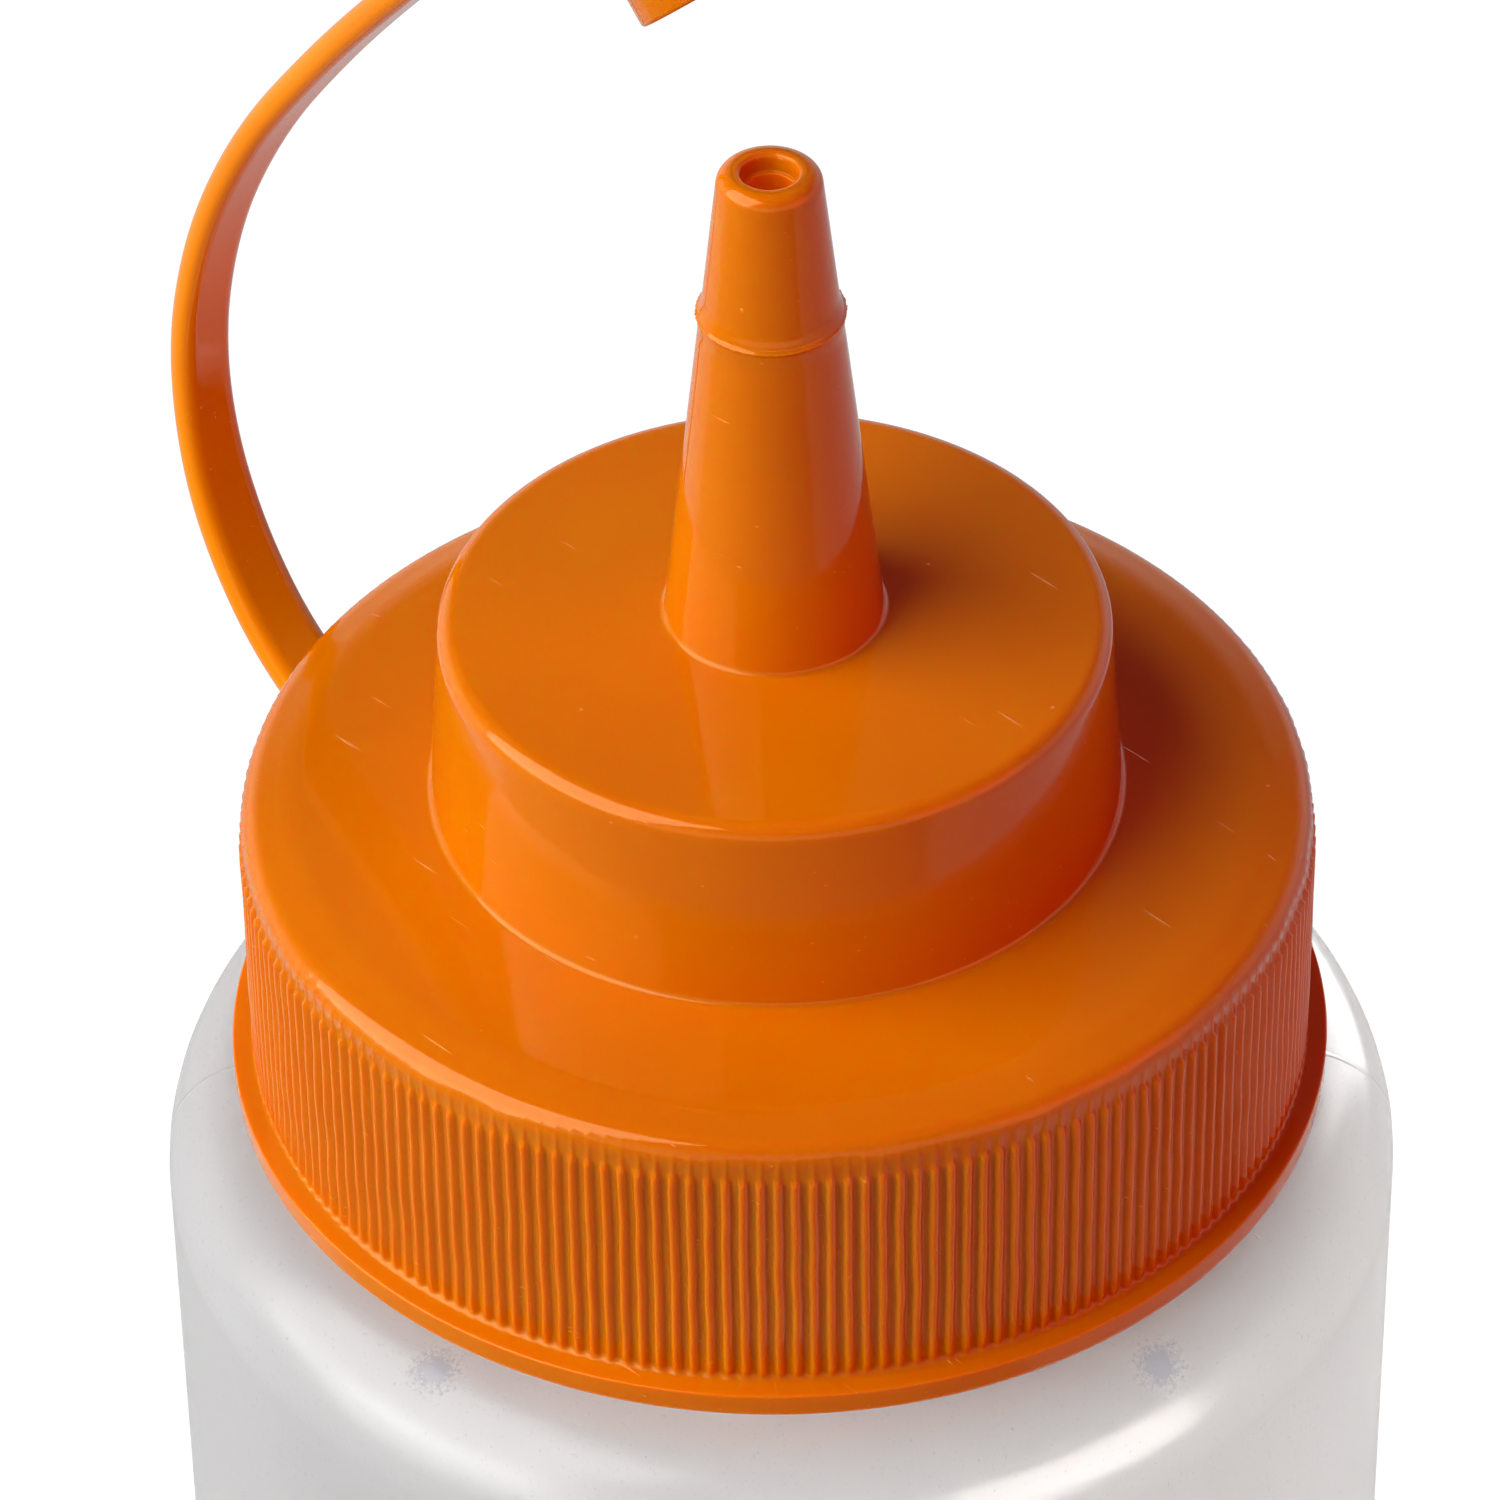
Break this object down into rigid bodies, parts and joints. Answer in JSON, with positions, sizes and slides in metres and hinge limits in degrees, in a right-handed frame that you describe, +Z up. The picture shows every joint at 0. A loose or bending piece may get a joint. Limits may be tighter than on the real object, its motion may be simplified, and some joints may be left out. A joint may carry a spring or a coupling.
{
  "type": "squeeze sauce bottle",
  "caption": "Translucent squeeze sauce bottle with an orange screw lid, a long tapered nozzle, and a tip cap on a flexible strap.",
  "frame": {"origin": "centre of the bottle's flat base, on the surface it stands on", "axes": "+Z up along the bottle's axis; the strap lies in the XZ plane on the -X side"},
  "size_m": [0.0974, 0.0822, 0.2842],
  "materials": {
    "translucent_bottle": "natural low-density polyethylene, blow-moulded, translucent, satin",
    "orange_plastic": "orange polypropylene, injection-moulded, glossy",
    "seal": "white silicone, moulded, matte"
  },
  "bodies": {
    "bottle": {"bottle": "translucent_bottle"},
    "seal": {"seal_ring": "seal"},
    "lid": {"lid": "orange_plastic"},
    "strap_1": {"strap_link_1": "orange_plastic"},
    "strap_2": {"strap_link_2": "orange_plastic"},
    "strap_3": {"strap_link_3": "orange_plastic"},
    "strap_4": {"strap_link_4": "orange_plastic"},
    "strap_5": {"strap_link_5": "orange_plastic"},
    "strap_6": {"strap_link_6": "orange_plastic"},
    "strap_7": {"strap_link_7": "orange_plastic"},
    "strap_8": {"strap_link_8": "orange_plastic"},
    "cap": {"tip_cap": "orange_plastic"}
  },
  "joints": [
    {"name": "lid_rise", "type": "slide", "parent": "bottle", "child": "seal", "axis": [0, 0, 1], "range_m": [0, 0.02]},
    {"name": "lid_turn", "type": "hinge", "parent": "seal", "child": "lid", "pos_m": [0, 0, 0.2], "axis": [0, 0, 1], "range_deg": [0, 1715]},
    {"name": "strap_bend_1", "type": "hinge", "parent": "lid", "child": "strap_1", "pos_m": [-0.04023, 0, 0.19163], "axis": [0, 1, 0], "range_deg": [-0.441, 0.482], "stiffness_Nm_per_rad": 0.04},
    {"name": "strap_bend_2", "type": "hinge", "parent": "strap_1", "child": "strap_2", "pos_m": [-0.05007, 0, 0.19885], "axis": [0, 1, 0], "range_deg": [-0.321, 0.351], "stiffness_Nm_per_rad": 0.04},
    {"name": "strap_bend_3", "type": "hinge", "parent": "strap_2", "child": "strap_3", "pos_m": [-0.05483, 0, 0.21018], "axis": [0, 1, 0], "range_deg": [-0.241, 0.22], "stiffness_Nm_per_rad": 0.04},
    {"name": "strap_bend_4", "type": "hinge", "parent": "strap_3", "child": "strap_4", "pos_m": [-0.05464, 0, 0.22251], "axis": [0, 1, 0], "range_deg": [-1.56, 1.43], "stiffness_Nm_per_rad": 0.04},
    {"name": "strap_bend_5", "type": "hinge", "parent": "strap_4", "child": "strap_5", "pos_m": [-0.0506, 0, 0.23419], "axis": [0, 1, 0], "range_deg": [-3.6, 3.29], "stiffness_Nm_per_rad": 0.04},
    {"name": "strap_bend_6", "type": "hinge", "parent": "strap_5", "child": "strap_6", "pos_m": [-0.04408, 0, 0.24472], "axis": [0, 1, 0], "range_deg": [-6.16, 5.62], "stiffness_Nm_per_rad": 0.04},
    {"name": "strap_bend_7", "type": "hinge", "parent": "strap_6", "child": "strap_7", "pos_m": [-0.03624, 0, 0.25433], "axis": [0, 1, 0], "range_deg": [-9.02, 8.24], "stiffness_Nm_per_rad": 0.04},
    {"name": "strap_bend_8", "type": "hinge", "parent": "strap_7", "child": "strap_8", "pos_m": [-0.02787, 0, 0.26347], "axis": [0, 1, 0], "range_deg": [-12, 10.96], "stiffness_Nm_per_rad": 0.04},
    {"name": "cap_bend", "type": "hinge", "parent": "strap_8", "child": "cap", "pos_m": [-0.01912, 0, 0.27225], "axis": [0, 1, 0], "range_deg": [-15, 13.71], "stiffness_Nm_per_rad": 0.04}
  ],
  "couplings": [
    {"joint": "lid_turn", "follows": "lid_rise", "rad_per_m": 1496},
    {"joint": "strap_bend_1", "follows": "strap_bend_6", "ratio": -0.078061},
    {"joint": "strap_bend_2", "follows": "strap_bend_6", "ratio": -0.056746},
    {"joint": "strap_bend_3", "follows": "strap_bend_6", "ratio": 0.038844},
    {"joint": "strap_bend_4", "follows": "strap_bend_6", "ratio": 0.25306},
    {"joint": "strap_bend_5", "follows": "strap_bend_6", "ratio": 0.58367},
    {"joint": "strap_bend_7", "follows": "strap_bend_6", "ratio": 1.4649},
    {"joint": "strap_bend_8", "follows": "strap_bend_6", "ratio": 1.949},
    {"joint": "cap_bend", "follows": "strap_bend_6", "ratio": 2.4362}
  ]
}
